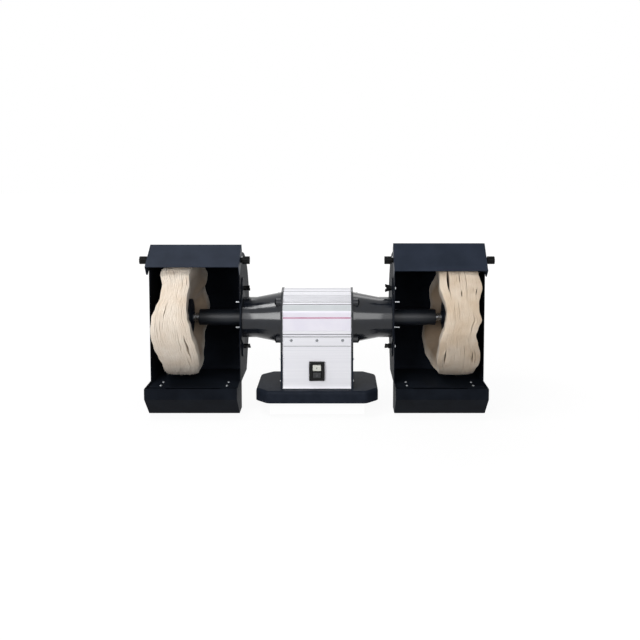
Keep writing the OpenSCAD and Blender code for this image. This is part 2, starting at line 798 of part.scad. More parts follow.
// Flaps, their fittings and knobs; the ears run outside the hood walls
ear_in_x = hood_x - part_gap - flap_t;
ear_out_x = hood_end + part_gap;
module flap_fittings(s) {
    inside_nut = [[hood_x + sheet_t, 1], [hood_end - sheet_t, -1]];
    color(zinc) on_axis() side(s) {
        for (p = inside_nut) pivot_place() difference() {
            hex_x(min(p[0], p[0] + p[1] * 2 * m6_r), max(p[0], p[0] + p[1] * 2 * m6_r),
                m6_r * nut_share);
            x_cyl(p[0] - stud_out, p[0] + stud_out, m6_r + run_gap);
        }
        guide_place() {
            x_cyl(ear_in_x - part_gap, hood_x + sheet_t, m5_r);
            x_cyl(ear_in_x - part_gap - m5_r, ear_in_x - part_gap, m5_r * head_share);
            x_cyl(hood_end - sheet_t, ear_out_x + flap_t + part_gap, m5_r);
            x_cyl(ear_out_x + flap_t + part_gap, ear_out_x + flap_t + part_gap + m5_r, m5_r * head_share);
        }
    }
}
module guide_slot() {
    half = m5_r + part_gap;
    reach = 2 * guide_r;
    spare = asin(half / guide_r);
    from = guide_angle - tilt_angle_max - spare;
    to = guide_angle - tilt_angle_min + spare;
    mid = (from + to) / 2;
    intersection() {
        difference() {
            circle(r = guide_r + half);
            circle(r = guide_r - half);
        }
        polygon([[0, 0], for (a = [from, mid, to]) [reach * cos(a), reach * sin(a)]]);
    }
}
module ear_outline() {
    top = flap_rise + flap_t;
    difference() {
        polygon([[-flap_front, top], [flap_back, top], [flap_back, flap_rise * ear_step_share],
            [flap_back * ear_back_share, -ear_drop], [ear_drop / 2 - flap_front, -ear_drop],
            [-flap_front, -ear_drop / 2]]);
        guide_slot();
    }
}
module flap(s, tilt) {
    top = flap_rise + flap_t;
    fold_y = fold_l * cos(fold_angle);
    fold_z = fold_l * sin(fold_angle);
    color(sheet) on_axis() side(s) pivot_place() rotate([tilt, 0, 0]) difference() {
        union() {
            for (x = [ear_in_x, ear_out_x]) x_extrude(x, x + flap_t) ear_outline();
            x_extrude(ear_in_x, ear_out_x + flap_t)
                polygon([[-flap_front, flap_rise], [flap_back, flap_rise],
                    [flap_back + fold_y, flap_rise - fold_z], [flap_back + fold_y, top - fold_z],
                    [flap_back, top], [-flap_front, top]]);
        }
        x_cyl(ear_in_x - overrun, ear_out_x + flap_t + overrun, m6_r + run_gap);
    }
}
module knob(x, way) {
    flute_r = knob_r * flute_share;
    near = x + way * knob_neck_l;
    far = near + way * knob_l;
    tail = x - way * stud_out;
    neck_end = near + way * overrun;
    difference() {
        x_cyl(min(near, far), max(near, far), knob_r);
        for (i = [0 : flute_count - 1]) at_polar(knob_r, 360 * i / flute_count)
            x_cyl(min(near, far) - overrun, max(near, far) + overrun, flute_r);
    }
    x_cyl(min(x, neck_end), max(x, neck_end), knob_neck_r);
    x_cyl(min(tail, neck_end), max(tail, neck_end), m6_r);
}
module flap_knob_inner(s)
    color(black) on_axis() side(s) pivot_place() knob(ear_in_x - part_gap, -1);
module flap_knob_outer(s)
    color(black) on_axis() side(s) pivot_place() knob(ear_out_x + flap_t + part_gap, 1);

// Switch, terminal block and cable gland
module switch_place() translate([0, -body_d / 2, base_h + switch_rise]) children();
module button_block(grow, depth) cube([button_w + 2 * grow, depth, button_h + 2 * grow], center = true);
module switch_body() {
    inner_w = switch_w - 2 * switch_margin;
    inner_h = switch_h - 2 * switch_margin;
    pocket = 2 * (button_travel + button_proud);
    color(black) switch_place() difference() {
        union() {
            translate([-switch_w / 2, -switch_out, -switch_h / 2]) cube([switch_w, switch_out, switch_h]);
            translate([-inner_w / 2, 0, -inner_h / 2]) cube([inner_w, switch_rear_l, inner_h]);
        }
        for (k = [-1, 1]) translate([0, -switch_out, k * button_pitch / 2])
            button_block(button_gap, 2 * pocket);
    }
}
module button(k) {
    depth = button_proud + 2 * button_travel + button_proud;
    switch_place() translate([0, depth / 2 - switch_out - button_proud, k * button_pitch / 2])
        button_block(0, depth);
}
module start_button() color("#d8d9d2") button(1);
module stop_button() color("#2a2b2d") button(-1);
module terminal_block() {
    color("#3b3f45") translate([-block_l / 2, 0, base_h + pedestal_foot_t])
        cube([block_l, block_d, block_h]);
}
module cable_gland() {
    wall = body_d / 2;
    color(black) translate([0, 0, base_h + gland_rise]) difference() {
        union() {
            y_cyl(wall - pedestal_wall - gland_tail, wall + gland_nut_l, gland_r);
            y_cyl(wall, wall + gland_nut_l, gland_nut_r);
            y_cyl(wall - pedestal_wall - gland_tail, wall - pedestal_wall, gland_nut_r);
        }
        y_cyl(0, body_d, gland_bore_r);
    }
}

base_plate();
pedestal_housing();
pedestal_side(-1);  // pedestal_side_left
pedestal_side(1);  // pedestal_side_right
motor_housing();
end_bell(-1);  // end_bell_left
end_bell(1);  // end_bell_right
end_bell_bolts();
housing_screws();
pedestal_bolts();
side_plate_screws();
stator_core();
stator_windings();
bearing_outer_rings();
spindle_tube(-1);  // spindle_tube_left
spindle_tube(1);  // spindle_tube_right
tube_seals();
switch_body();
terminal_block();
cable_gland();
carrier_plate(-1);  // carrier_plate_left
carrier_plate(1);  // carrier_plate_right
carrier_studs();
clamp_nuts();
shaft();
rotor_core();
bearing_inner_rings();
bearing_balls();
inner_flanges();
outer_flanges();
spindle_nuts();
buff(-1);  // buff_left
buff(1);  // buff_right
hood_inner_wall(-1);  // hood_inner_wall_left
hood_outer_wall(-1);  // hood_outer_wall_left
hood_wrap(-1);  // hood_wrap_left
dust_tray(-1);  // dust_tray_left
tray_screws(-1);  // tray_screws_left
flap_fittings(-1);  // flap_fittings_left
hood_inner_wall(1);  // hood_inner_wall_right
hood_outer_wall(1);  // hood_outer_wall_right
hood_wrap(1);  // hood_wrap_right
dust_tray(1);  // dust_tray_right
tray_screws(1);  // tray_screws_right
flap_fittings(1);  // flap_fittings_right
flap(-1, tilt_angle_left);  // flap_left
flap(1, tilt_angle_right);  // flap_right
flap_knob_inner(-1);  // flap_knob_left_inner
flap_knob_outer(-1);  // flap_knob_left_outer
flap_knob_inner(1);  // flap_knob_right_inner
flap_knob_outer(1);  // flap_knob_right_outer
clamp_wing(-1, 1, wing_angles[0]);  // clamp_left_upper
clamp_wing(-1, -1, wing_angles[1]);  // clamp_left_lower
clamp_wing(1, 1, wing_angles[2]);  // clamp_right_upper
clamp_wing(1, -1, wing_angles[3]);  // clamp_right_lower
start_button();
stop_button();
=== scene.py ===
import json
import math

import bmesh
import bpy
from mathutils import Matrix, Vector, noise


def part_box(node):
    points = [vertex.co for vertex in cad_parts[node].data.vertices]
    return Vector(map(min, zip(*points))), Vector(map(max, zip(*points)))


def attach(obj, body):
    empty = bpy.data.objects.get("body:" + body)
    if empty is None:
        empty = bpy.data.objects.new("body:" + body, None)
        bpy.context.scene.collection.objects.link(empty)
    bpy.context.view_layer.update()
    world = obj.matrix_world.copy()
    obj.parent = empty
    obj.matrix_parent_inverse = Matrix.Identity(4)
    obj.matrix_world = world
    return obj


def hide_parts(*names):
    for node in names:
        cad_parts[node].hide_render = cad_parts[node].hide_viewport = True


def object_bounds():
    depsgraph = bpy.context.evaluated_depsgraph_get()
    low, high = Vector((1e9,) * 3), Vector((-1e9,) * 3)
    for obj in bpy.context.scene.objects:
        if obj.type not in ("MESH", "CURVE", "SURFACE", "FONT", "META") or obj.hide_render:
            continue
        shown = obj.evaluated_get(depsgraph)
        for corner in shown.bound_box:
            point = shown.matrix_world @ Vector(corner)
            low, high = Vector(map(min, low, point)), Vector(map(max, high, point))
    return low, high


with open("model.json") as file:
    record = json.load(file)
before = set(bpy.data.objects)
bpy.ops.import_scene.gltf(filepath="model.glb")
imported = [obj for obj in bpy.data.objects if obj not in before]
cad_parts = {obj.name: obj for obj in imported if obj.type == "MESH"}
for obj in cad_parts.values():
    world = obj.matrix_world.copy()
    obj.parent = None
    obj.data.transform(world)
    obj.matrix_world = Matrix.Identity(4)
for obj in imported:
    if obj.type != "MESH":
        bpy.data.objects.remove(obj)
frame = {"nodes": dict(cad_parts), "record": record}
cadLow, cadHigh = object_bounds()
nodes = frame["nodes"]
mm = 0.001
sides = {"left": -1, "right": 1}
axisZ = (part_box("shaft")[0].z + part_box("shaft")[1].z) / 2
print("frame loaded:", len(nodes), "nodes")


# colours and materials

def linear(hexColour):
    # the sRGB curve, from a hex colour to the linear values that Blender takes
    values = []
    for i in (1, 3, 5):
        v = int(hexColour[i:i + 2], 16) / 255
        values.append(v / 12.92 if v <= 0.04045 else ((v + 0.055) / 1.055) ** 2.4)
    return (*values, 1.0)


def addNode(tree, kind, values=None, links=None, **settings):
    node = tree.nodes.new(kind)
    for name, value in settings.items():
        setattr(node, name, value)
    for name, value in (values or {}).items():
        node.inputs[name].default_value = value
    for name, source in (links or {}).items():
        tree.links.new(source, node.inputs[name])
    return node


# the detail of a noise field, and the stretch of it that is used
fieldUse = {"detail": 2, "shades": (0.35, 0.65), "rough": (0.3, 0.7)}
# a mix node has several sockets of one name, so they are picked by number
mixSocket = {"factor": 0, "floatA": 2, "floatB": 3, "colourA": 6, "colourB": 7, "colourOut": 2}


def makeFinish(look):
    # each grain is a field of the given size that can drive colour, roughness and relief
    material = bpy.data.materials.new(look["name"])
    material.use_nodes = True
    tree = material.node_tree
    shader = tree.nodes["Principled BSDF"]
    for socket, value in look["sockets"].items():
        shader.inputs[socket].default_value = value
    place = addNode(tree, "ShaderNodeTexCoord").outputs["Object"]
    relief = []
    for grain in look["grains"]:
        stretch = grain.get("stretch", (1, 1, 1))
        spot = addNode(tree, "ShaderNodeMapping", {"Scale": stretch}, {"Vector": place})
        fineness = {"Scale": 1 / (grain["size"] * mm), "Detail": grain.get("detail", fieldUse["detail"])}
        speckle = addNode(tree, "ShaderNodeTexNoise", fineness, {"Vector": spot.outputs["Vector"]})
        field = speckle.outputs["Fac"]
        if "shades" in grain:
            ramp = addNode(tree, "ShaderNodeValToRGB", None, {"Fac": field})
            stops = zip(ramp.color_ramp.elements, fieldUse["shades"], grain["shades"])
            for element, position, shade in stops:
                element.position = position
                element.color = linear(shade)
            tree.links.new(ramp.outputs["Color"], shader.inputs["Base Color"])
        if "rough" in grain:
            smooth, dull = grain["rough"]
            least, most = fieldUse["rough"]
            spread = addNode(tree, "ShaderNodeMapRange",
                             {"From Min": least, "From Max": most, "To Min": smooth, "To Max": dull},
                             {"Value": field})
            tree.links.new(spread.outputs["Result"], shader.inputs["Roughness"])
        if "high" in grain:
            bump = addNode(tree, "ShaderNodeBump", {"Distance": grain["high"] * mm}, {"Height": field})
            if relief:
                tree.links.new(relief[-1], bump.inputs["Normal"])
            relief.append(bump.outputs["Normal"])
    if relief:
        tree.links.new(relief[-1], shader.inputs["Normal"])
    return material


def satin(name, dark, pale, smooth, dull, level, peel=2.2, high=0.03):
    # the look of a sprayed or moulded surface: cloudy colour and a fine skin that breaks up reflections
    return {"name": name, "sockets": {"Specular IOR Level": level},
            "grains": ({"size": 60, "detail": 4, "shades": (dark, pale)},
                       {"size": peel, "rough": (smooth, dull), "high": high})}


def metal(name, dark, pale, smooth, dull):
    # bare or plated metal: small cloudy crystals and fine scratches along the shaft
    return {"name": name, "sockets": {"Metallic": 1.0},
            "grains": ({"size": 3, "detail": 4, "shades": (dark, pale), "rough": (smooth, dull)},
                       {"size": 0.5, "stretch": (0.05, 1, 1), "high": 0.006})}


def muslin(name, dark, pale, cloud):
    # soft off-white cloth with slow stains and a fuzzy skin
    return {"name": name, "sockets": {"Roughness": 0.95, "Specular IOR Level": 0.1, "Sheen Weight": 0.25},
            "grains": ({"size": cloud, "detail": 5, "shades": (dark, pale)},
                       {"size": 3, "detail": 6, "stretch": (1, 0.25, 0.25), "high": 0.35})}


looks = {
    # baked powder coat on sheet steel, blue-black and satin; its peel is drawn coarser than the real 1 mm
    "hoodPaint": satin("blue_black_powder_coat_on_sheet", "#14171d", "#1a1e25", 0.42, 0.54, 0.015),
    # the flaps take a paler copy of the hood coat, painted light for their up-facing slope, and are a little
    # glossier
    "flapPaintWithPaintedLight": satin("powder_coat_with_painted_light_on_flaps", "#1d2430", "#242b38", 0.42, 0.54, 0.12),
    # a finer coat on the flat brackets and the clamp flanges
    "bracketPaint": satin("blue_black_powder_coat_on_plate", "#14181f", "#1a1e26", 0.44, 0.56, 0.06),
    # stoved enamel on turned castings: glossy, with the slow waves of the mould under it
    "bellEnamel": {"name": "anthracite_gloss_enamel_on_castings",
                   "sockets": {"IOR": 1.62, "Specular IOR Level": 0.22, "Coat Weight": 0.3,
                               "Coat Roughness": 0.08},
                   "grains": ({"size": 14, "shades": ("#0c1018", "#11161f"), "high": 0.03},
                              {"size": 1.6, "rough": (0.16, 0.22), "high": 0.008})},
    # a thinner, silkier coat of the same enamel on the drawn tubes
    "tubeEnamel": satin("anthracite_satin_enamel_on_tube", "#101318", "#161a20", 0.34, 0.44, 0.3),
    # matt enamel over the rough skin of an iron casting
    "baseEnamel": {"name": "anthracite_matt_enamel_on_iron", "sockets": {"Specular IOR Level": 0.06},
                   "grains": ({"size": 22, "detail": 3, "shades": ("#191e27", "#1f242e"), "high": 0.1},
                              {"size": 1.8, "rough": (0.46, 0.6), "high": 0.04})},
    # extruded aluminium, etched and clear anodised: pale satin silver with faint die lines along the shaft
    "bodySilver": {"name": "clear_anodised_extruded_aluminium",
                   "sockets": {"Metallic": 0.15, "Specular IOR Level": 0.4},
                   "grains": ({"size": 2.4, "stretch": (0.004, 1, 1), "shades": ("#e2e2e8", "#e9e9ee"),
                               "rough": (0.4, 0.5)},
                              {"size": 1.1, "stretch": (0.006, 1, 1), "high": 0.004})},
    # the same metal with painted shade in the grooves and along the housing seam, paler painted shade in the
    # grooves on the crown
    "paintedShadeSilver": satin("aluminium_with_painted_shade", "#55575b", "#606266", 0.6, 0.7, 0.2),
    "paintedCrownShade": satin("aluminium_with_pale_painted_shade", "#a6a8ac", "#b0b2b6", 0.6, 0.7, 0.2),
    "zincPlate": metal("bright_zinc_plated_steel", "#b9bdc1", "#dadde0", 0.22, 0.36),
    "dullZinc": metal("weathered_zinc_plated_steel", "#7d8083", "#989b9e", 0.42, 0.56),
    "groundSteel": metal("ground_shaft_steel", "#9a9ea3", "#b9bdc1", 0.2, 0.3),
    "copperWire": metal("enamelled_copper_wire", "#8a4a22", "#b5713a", 0.3, 0.45),
    # oiled black oxide on hexagon bolts
    "blackOxide": metal("black_oxide_steel", "#2a2c30", "#3a3d42", 0.32, 0.44),
    # injection-moulded plastics with a spark-eroded grain, drawn coarser than real
    "blackNylon": satin("moulded_black_nylon", "#08090a", "#0e0f10", 0.4, 0.54, 0.1, 0.9, 0.015),
    "sealRubber": satin("moulded_nitrile_rubber", "#0e0e0f", "#161617", 0.62, 0.78, 0.3, 0.9, 0.015),
    "switchAbs": satin("moulded_black_abs", "#0a0b0c", "#101112", 0.34, 0.46, 0.15, 0.9, 0.01),
    "whiteAbs": satin("moulded_ivory_abs", "#d2d3cb", "#dcddd5", 0.3, 0.42, 0.4, 0.9, 0.008),
    "darkAbs": satin("moulded_charcoal_abs", "#1b1c1e", "#232427", 0.32, 0.44, 0.4, 0.9, 0.01),
    # screen-printed vinyl film with a silky overlaminate and the inks on it, and a grey film whose colour is
    # painted shade
    "labelFilm": satin("pale_printed_label_film", "#efecf8", "#f5f2fc", 0.4, 0.48, 0.35, 1.4, 0.004),
    "shadeBandFilm": satin("grey_film_with_painted_shade", "#c6cacd", "#cdd1d4", 0.4, 0.48, 0.35, 1.4, 0.004),
    "stripeInk": satin("raspberry_printed_ink", "#b2487e", "#bb5187", 0.4, 0.48, 0.35, 1.4, 0.004),
    "markInk": satin("grey_printed_ink", "#62656a", "#6e7176", 0.4, 0.5, 0.3, 1.4, 0.004),
    "paleInk": satin("grey_printed_ink_on_charcoal", "#55575a", "#5f6164", 0.4, 0.5, 0.3, 1.4, 0.004),
    # unbleached cotton cut in rounds, and the same cloth after some use, browner
    "freshMuslin": muslin("unbleached_cotton_muslin", "#ebddcc", "#f6ecdf", 46),
    "usedMuslin": muslin("used_cotton_muslin", "#dfccb4", "#eddfcd", 52),
    # matt grey paper for the studio, which throws little light back up
    "paper": {"name": "matt_grey_studio_paper", "sockets": {"Roughness": 0.9, "Specular IOR Level": 0.1},
              "grains": ({"size": 0.8, "shades": ("#505050", "#565656")},)},
}
finish = {key: makeFinish(look) for key, look in looks.items()}


weave = {"threadMm": 1.5, "strength": 0.3, "highMm": 0.2}


def darkenFolds(material, foldShadeHex):
    # painted shade: the cloth is coloured browner deeper below the cut edge, between the layers and, a little
    # less, on the outer faces, where it also stands for dirt; its weave follows the cut of each round
    tree = material.node_tree
    shader = tree.nodes["Principled BSDF"]
    cloth = shader.inputs["Base Color"].links[0].from_socket
    skin = shader.inputs["Normal"].links[0].from_socket
    depth = addNode(tree, "ShaderNodeAttribute", attribute_name="depth").outputs["Fac"]
    foldShade = addNode(tree, "ShaderNodeMix", {mixSocket["colourB"]: linear(foldShadeHex)},
                   {mixSocket["factor"]: depth, mixSocket["colourA"]: cloth}, data_type="RGBA")
    tree.links.new(foldShade.outputs[mixSocket["colourOut"]], shader.inputs["Base Color"])
    place = addNode(tree, "ShaderNodeUVMap", uv_map="cloth").outputs["UV"]
    threadScale = 1 / (weave["threadMm"] * mm)
    checks = addNode(tree, "ShaderNodeTexChecker", {"Scale": threadScale}, {"Vector": place})
    bump = addNode(tree, "ShaderNodeBump",
                   {"Strength": weave["strength"], "Distance": weave["highMm"] * mm},
                   {"Height": checks.outputs["Fac"], "Normal": skin})
    tree.links.new(bump.outputs["Normal"], shader.inputs["Normal"])


# the brown of the painted shade deep between the plies
darkenFolds(finish["freshMuslin"], "#8d7357")
darkenFolds(finish["usedMuslin"], "#735a40")
print("materials made:", len(finish))


# shaping helpers

nodeBody = {n: b for b, names in frame["record"]["behaviour"]["bodies"].items() for n in names}
solidTidy = {"merge": 2e-6, "flatDegrees": 0.5, "cornerDegrees": 34, "sharpDegrees": 38}


def addPiece(name, mesh, material, body, slotName, *replaced):
    piece = bpy.data.objects.new(name, mesh)
    bpy.context.scene.collection.objects.link(piece)
    mesh.materials.clear()
    mesh.materials.append(material)
    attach(piece, body)
    if replaced:
        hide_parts(*replaced)
    return piece


def bakeModifiers(holder):
    graph = bpy.context.evaluated_depsgraph_get()
    result = bpy.data.meshes.new_from_object(holder.evaluated_get(graph), depsgraph=graph)
    source = holder.data
    bpy.data.objects.remove(holder)
    bpy.data.meshes.remove(source)
    return result


def settleNormals(mesh):
    # flat faces stay flat beside small rounded edges
    mesh.shade_smooth()
    mesh.set_sharp_from_angle(angle=math.radians(solidTidy["sharpDegrees"]))
    holder = bpy.data.objects.new("normals", mesh)
    bpy.context.scene.collection.objects.link(holder)
    holder.modifiers.new("weighted", "WEIGHTED_NORMAL").keep_sharp = True
    return bakeModifiers(holder)


def cleanSolid(node):
    # a merged copy of a construction node, with each flat face in one piece
    solid = bmesh.new()
    solid.from_mesh(nodes[node].data)
    for layer in list(solid.loops.layers.float_vector.values()):
        solid.loops.layers.float_vector.remove(layer)
    bmesh.ops.remove_doubles(solid, verts=solid.verts, dist=solidTidy["merge"])
    bmesh.ops.dissolve_limit(solid, angle_limit=math.radians(solidTidy["flatDegrees"]), verts=solid.verts,
                             edges=solid.edges, delimit={"NORMAL"})
    return solid


def solidBoxes(node):
    # low and high corner of each separate solid of a construction node
    solid = cleanSolid(node)
    waiting = set(solid.verts)
    boxes = []
    while waiting:
        group = [waiting.pop()]
        for vert in group:
            near = {e.other_vert(vert) for e in vert.link_edges} & waiting
            waiting -= near
            group.extend(near)
        boxes.append([Vector([pick(v.co[i] for v in group) for i in range(3)]) for pick in (min, max)])
    solid.free()
    return boxes


def isCorner(edge, degrees=solidTidy["cornerDegrees"]):
    return len(edge.link_faces) == 2 and edge.calc_face_angle(0) > math.radians(degrees)


def roundEdges(solid, widthMm, segments, chosen):
    edges = [e for e in solid.edges if chosen(e)]
    bmesh.ops.bevel(solid, geom=edges, offset=widthMm * mm, offset_type="OFFSET", segments=segments,
                    profile=0.5, affect="EDGES", clamp_overlap=True)


def toMesh(solid, name):
    mesh = bpy.data.meshes.new(name)
    solid.normal_update()
    solid.to_mesh(mesh)
    solid.free()
    return settleNormals(mesh)


def easedCopy(node, material, slotName, widthMm, segments=2, chosen=isCorner):
    solid = cleanSolid(node)
    roundEdges(solid, widthMm, segments, chosen)
    return addPiece(node + "_shell", toMesh(solid, node), material, nodeBody[node], slotName, node)


def darkenGrooves(piece, leastMm, mostMm, crownMm, endFacing):
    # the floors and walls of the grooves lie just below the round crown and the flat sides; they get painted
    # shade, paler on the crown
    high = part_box("motor_housing")[1]
    for key in ("paintedShadeSilver", "paintedCrownShade"):
        piece.data.materials.append(finish[key])
    for face in piece.data.polygons:
        rise = face.center.z - axisZ
        depth = high.y - abs(face.center.y)
        if rise > 0:
            depth = min(depth, high.z - axisZ - math.hypot(face.center.y, rise))
        if leastMm * mm < depth < mostMm * mm and abs(face.normal.x) < endFacing:
            face.material_index = 2 if rise > crownMm * mm else 1


def loopSolid(outline, places):
    # a closed solid through copies of one outline; each place turns an outline point into a position
    solid = bmesh.new()
    rings = [[solid.verts.new(place(*p)) for p in outline] for place in places]
    count = len(outline)
    for here, after in zip(rings, rings[1:]):
        for i in range(count):
            j = (i + 1) % count
            solid.faces.new((here[i], here[j], after[j], after[i]))
    solid.faces.new(list(reversed(rings[0])))
    solid.faces.new(rings[-1])
    bmesh.ops.recalc_face_normals(solid, faces=solid.faces)
    return solid


# castings, extrusions and sheet metal with their broken edges

edgeBreaks = {  # node: finish, slot, rounding in mm, segments
    "pedestal_housing": ("bodySilver", "silver_aluminium", 0.6, 2),
    "motor_housing": ("bodySilver", "silver_aluminium", 0.4, 2),
    "cable_gland": ("blackNylon", "black_plastic", 0.8, 2),
    "switch_body": ("switchAbs", "switch_plastic", 1.4, 3),
    "start_button": ("whiteAbs", "start_plastic", 2.0, 4),
    "stop_button": ("darkAbs", "stop_plastic", 2.0, 4),
}
for side in sides:
    edgeBreaks["pedestal_side_" + side] = ("baseEnamel", "dark_casting", 1.5, 3)
    edgeBreaks["end_bell_" + side] = ("bellEnamel", "dark_casting", 1.2, 2)
    edgeBreaks["spindle_tube_" + side] = ("tubeEnamel", "black_sheet", 1.2, 2)
    edgeBreaks["carrier_plate_" + side] = ("bracketPaint", "black_sheet", 0.8, 2)
    edgeBreaks["flap_" + side] = ("flapPaintWithPaintedLight", "black_sheet", 0.7, 2)
    for part in ("hood_inner_wall_", "hood_outer_wall_", "hood_wrap_", "dust_tray_"):
        edgeBreaks[part + side] = ("hoodPaint", "black_sheet", 0.7, 2)
    for level in ("upper", "lower"):
        edgeBreaks["clamp_%s_%s" % (side, level)] = ("blackNylon", "black_plastic", 1.2, 3)
    for end in ("inner", "outer"):
        edgeBreaks["flap_knob_%s_%s" % (side, end)] = ("blackNylon", "black_plastic", 1.0, 2)
grooves = {"leastMm": 0.45, "mostMm": 1.7, "crownMm": 60, "endFacing": 0.5}
for node, (key, slotName, widthMm, segments) in edgeBreaks.items():
    shell = easedCopy(node, finish[key], slotName, widthMm, segments)
    if node == "motor_housing":
        darkenGrooves(shell, **grooves)
print("edges broken on", len(edgeBreaks), "nodes")

baseCasting = {"roundMm": 9.0, "segments": 6, "rimWidth": 0.04, "uprightLeast": 0.03, "flush": 1e-5,
               "cornerDegrees": 20}
baseLow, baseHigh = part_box("base_plate")


def onBaseOutside(edge):
    # the rim of the top and the upright corners, not the hollow underneath
    ends = [v.co for v in edge.verts]
    middle = (ends[0] + ends[1]) / 2
    onTop = all(abs(p.z - baseHigh.z) < baseCasting["flush"] for p in ends)
    margin = baseCasting["rimWidth"]
    outside = abs(middle.x) > baseHigh.x - margin or abs(middle.y) > baseHigh.y - margin
    upright = abs(ends[0].z - ends[1].z) > baseCasting["uprightLeast"]
    return isCorner(edge, baseCasting["cornerDegrees"]) and outside and (onTop or upright)


easedCopy("base_plate", finish["baseEnamel"], "dark_casting", baseCasting["roundMm"], baseCasting["segments"],
          onBaseOutside)

plainFinish = {  # construction nodes that keep their own shape
    "zincPlate": ("pedestal_bolts", "carrier_studs", "clamp_nuts", "spindle_nuts", "bearing_balls",
                  "flap_fittings_left", "flap_fittings_right"),
    "groundSteel": ("shaft", "rotor_core", "stator_core", "bearing_outer_rings", "bearing_inner_rings"),
    "bracketPaint": ("inner_flanges", "outer_flanges"),
    "copperWire": ("stator_windings",),
    "sealRubber": ("tube_seals",),
    "switchAbs": ("terminal_block",),
}
for key, names in plainFinish.items():
    for node in names:
        mesh = nodes[node].data
        for i in range(len(mesh.materials)):
            mesh.materials[i] = finish[key]
        if not mesh.materials:
            mesh.materials.append(finish[key])
print("plain nodes finished")


# label panel with its stripe, and the marks on the push buttons

housingLow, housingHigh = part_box("motor_housing")
panel = {  # lengths in mm, with heights taken from the shaft
    "below": 24.5, "above": 32, "endGap": 1.5, "thick": 0.3, "sunk": 0.2, "steps": 24, "band": (33.5, 49.5),
    "stripeAt": 13.2, "stripeHalf": 1.5, "stripeProud": 0.45, "seamHalf": 0.7, "seamProud": 0.05,
}


def housingFace(rise):
    # the flat front of the housing and the start of its round crown
    crownR = housingHigh.z - axisZ
    return max(housingLow.y, -math.sqrt(crownR ** 2 - rise ** 2)) if rise > 0 else housingLow.y


def addFilm(name, material, fromMm, toMm, proudMm, way=1):
    halfX = housingHigh.x - panel["endGap"] * mm
    rises = [(fromMm + (toMm - fromMm) * i / panel["steps"]) * mm for i in range(panel["steps"] + 1)]
    front = [(housingFace(r) - proudMm * mm, axisZ + r) for r in rises]
    rear = [(housingFace(r) + panel["sunk"] * mm, axisZ + r) for r in reversed(rises)]
    film = loopSolid(front + rear, [lambda y, z, x=x: Vector((x, way * y, z)) for x in (-halfX, halfX)])
    addPiece(name, toMesh(film, name), material, "frame", "silver_aluminium")


addFilm("label_panel", finish["labelFilm"], -panel["below"], panel["above"], panel["thick"])
addFilm("label_stripe", finish["stripeInk"], panel["stripeAt"] - panel["stripeHalf"],
        panel["stripeAt"] + panel["stripeHalf"], panel["stripeProud"])
# a grey film over the crown just above the panel: painted shade
addFilm("crown_shade_band", finish["shadeBandFilm"], *panel["band"], panel["thick"])
# thin films of painted shade along the joint between the housing and the pedestal, at the front and the back
seamAt = (housingLow.z - axisZ) / mm
seamEdges = (seamAt - panel["seamHalf"], seamAt + panel["seamHalf"])
for name, way in (("front", 1), ("back", -1)):
    addFilm("housing_seam_" + name, finish["paintedShadeSilver"], *seamEdges, panel["seamProud"], way)

marks = {"barHalf": (0.7, 2.8), "ringR": (3.0, 1.9), "thick": 0.25, "sunk": 0.1, "steps": 40}  # lengths in mm


def addMark(node, outline, hole, material, slotName):
    low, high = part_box(node)
    centre = (low + high) / 2
    levels = (low.y + marks["sunk"] * mm, low.y - marks["thick"] * mm)
    solid = bmesh.new()
    rings = [[[solid.verts.new((centre.x + x * mm, y, centre.z + z * mm)) for x, z in ring]
              for ring in (outline, hole) if ring] for y in levels]
    count = len(outline)
    for i in range(count):
        j = (i + 1) % count
        for back, front in zip(rings[0], rings[1]):
            solid.faces.new((back[i], back[j], front[j], front[i]))
        if hole:
            for outer, inner in rings:
                solid.faces.new((outer[i], outer[j], inner[j], inner[i]))
    if not hole:
        for level in rings:
            solid.faces.new(level[0])
    bmesh.ops.recalc_face_normals(solid, faces=solid.faces)
    addPiece(node + "_mark", toMesh(solid, node), material, nodeBody[node], slotName)


barX, barZ = marks["barHalf"]
circle = [(math.cos(2 * math.pi * i / marks["steps"]), math.sin(2 * math.pi * i / marks["steps"]))
          for i in range(marks["steps"])]
addMark("start_button", [(-barX, -barZ), (barX, -barZ), (barX, barZ), (-barX, barZ)], None, finish["markInk"],
        "start_plastic")
addMark("stop_button", *[[(r * x, r * z) for x, z in circle] for r in marks["ringR"]], finish["paleInk"],
        "stop_plastic")
print("label panel and button marks added")


# fasteners: heads grown on their places by geometry nodes

def newTree(name, sizes):
    tree = bpy.data.node_groups.new(name, "GeometryNodeTree")
    kinds = {"Geometry": "NodeSocketGeometry", "material": "NodeSocketMaterial", "seed": "NodeSocketInt"}
    for size in ("Geometry", *sizes, "material"):
        tree.interface.new_socket(size, in_out="INPUT", socket_type=kinds.get(size, "NodeSocketFloat"))
    tree.interface.new_socket("Geometry", in_out="OUTPUT", socket_type="NodeSocketGeometry")
    return tree, addNode(tree, "NodeGroupInput").outputs


def closeTree(tree, sockets, points, prototype, rotation):
    grown = addNode(tree, "GeometryNodeInstanceOnPoints", None,
                    {"Points": points, "Instance": prototype, "Rotation": rotation})
    real = addNode(tree, "GeometryNodeRealizeInstances", None, {"Geometry": grown.outputs[0]})
    dressed = addNode(tree, "GeometryNodeSetMaterial", None,
                      {"Geometry": real.outputs[0], "Material": sockets["material"]})
    addNode(tree, "NodeGroupOutput", None, {0: dressed.outputs[0]})
    return tree


headSizes = ("headRadius", "headHeight", "trimWidth", "trimReach", "shankRadius", "shankLength")
facets = {"domeSides": 32, "domeRings": 16, "hexagon": 6, "chamfer": 48, "shank": 24}


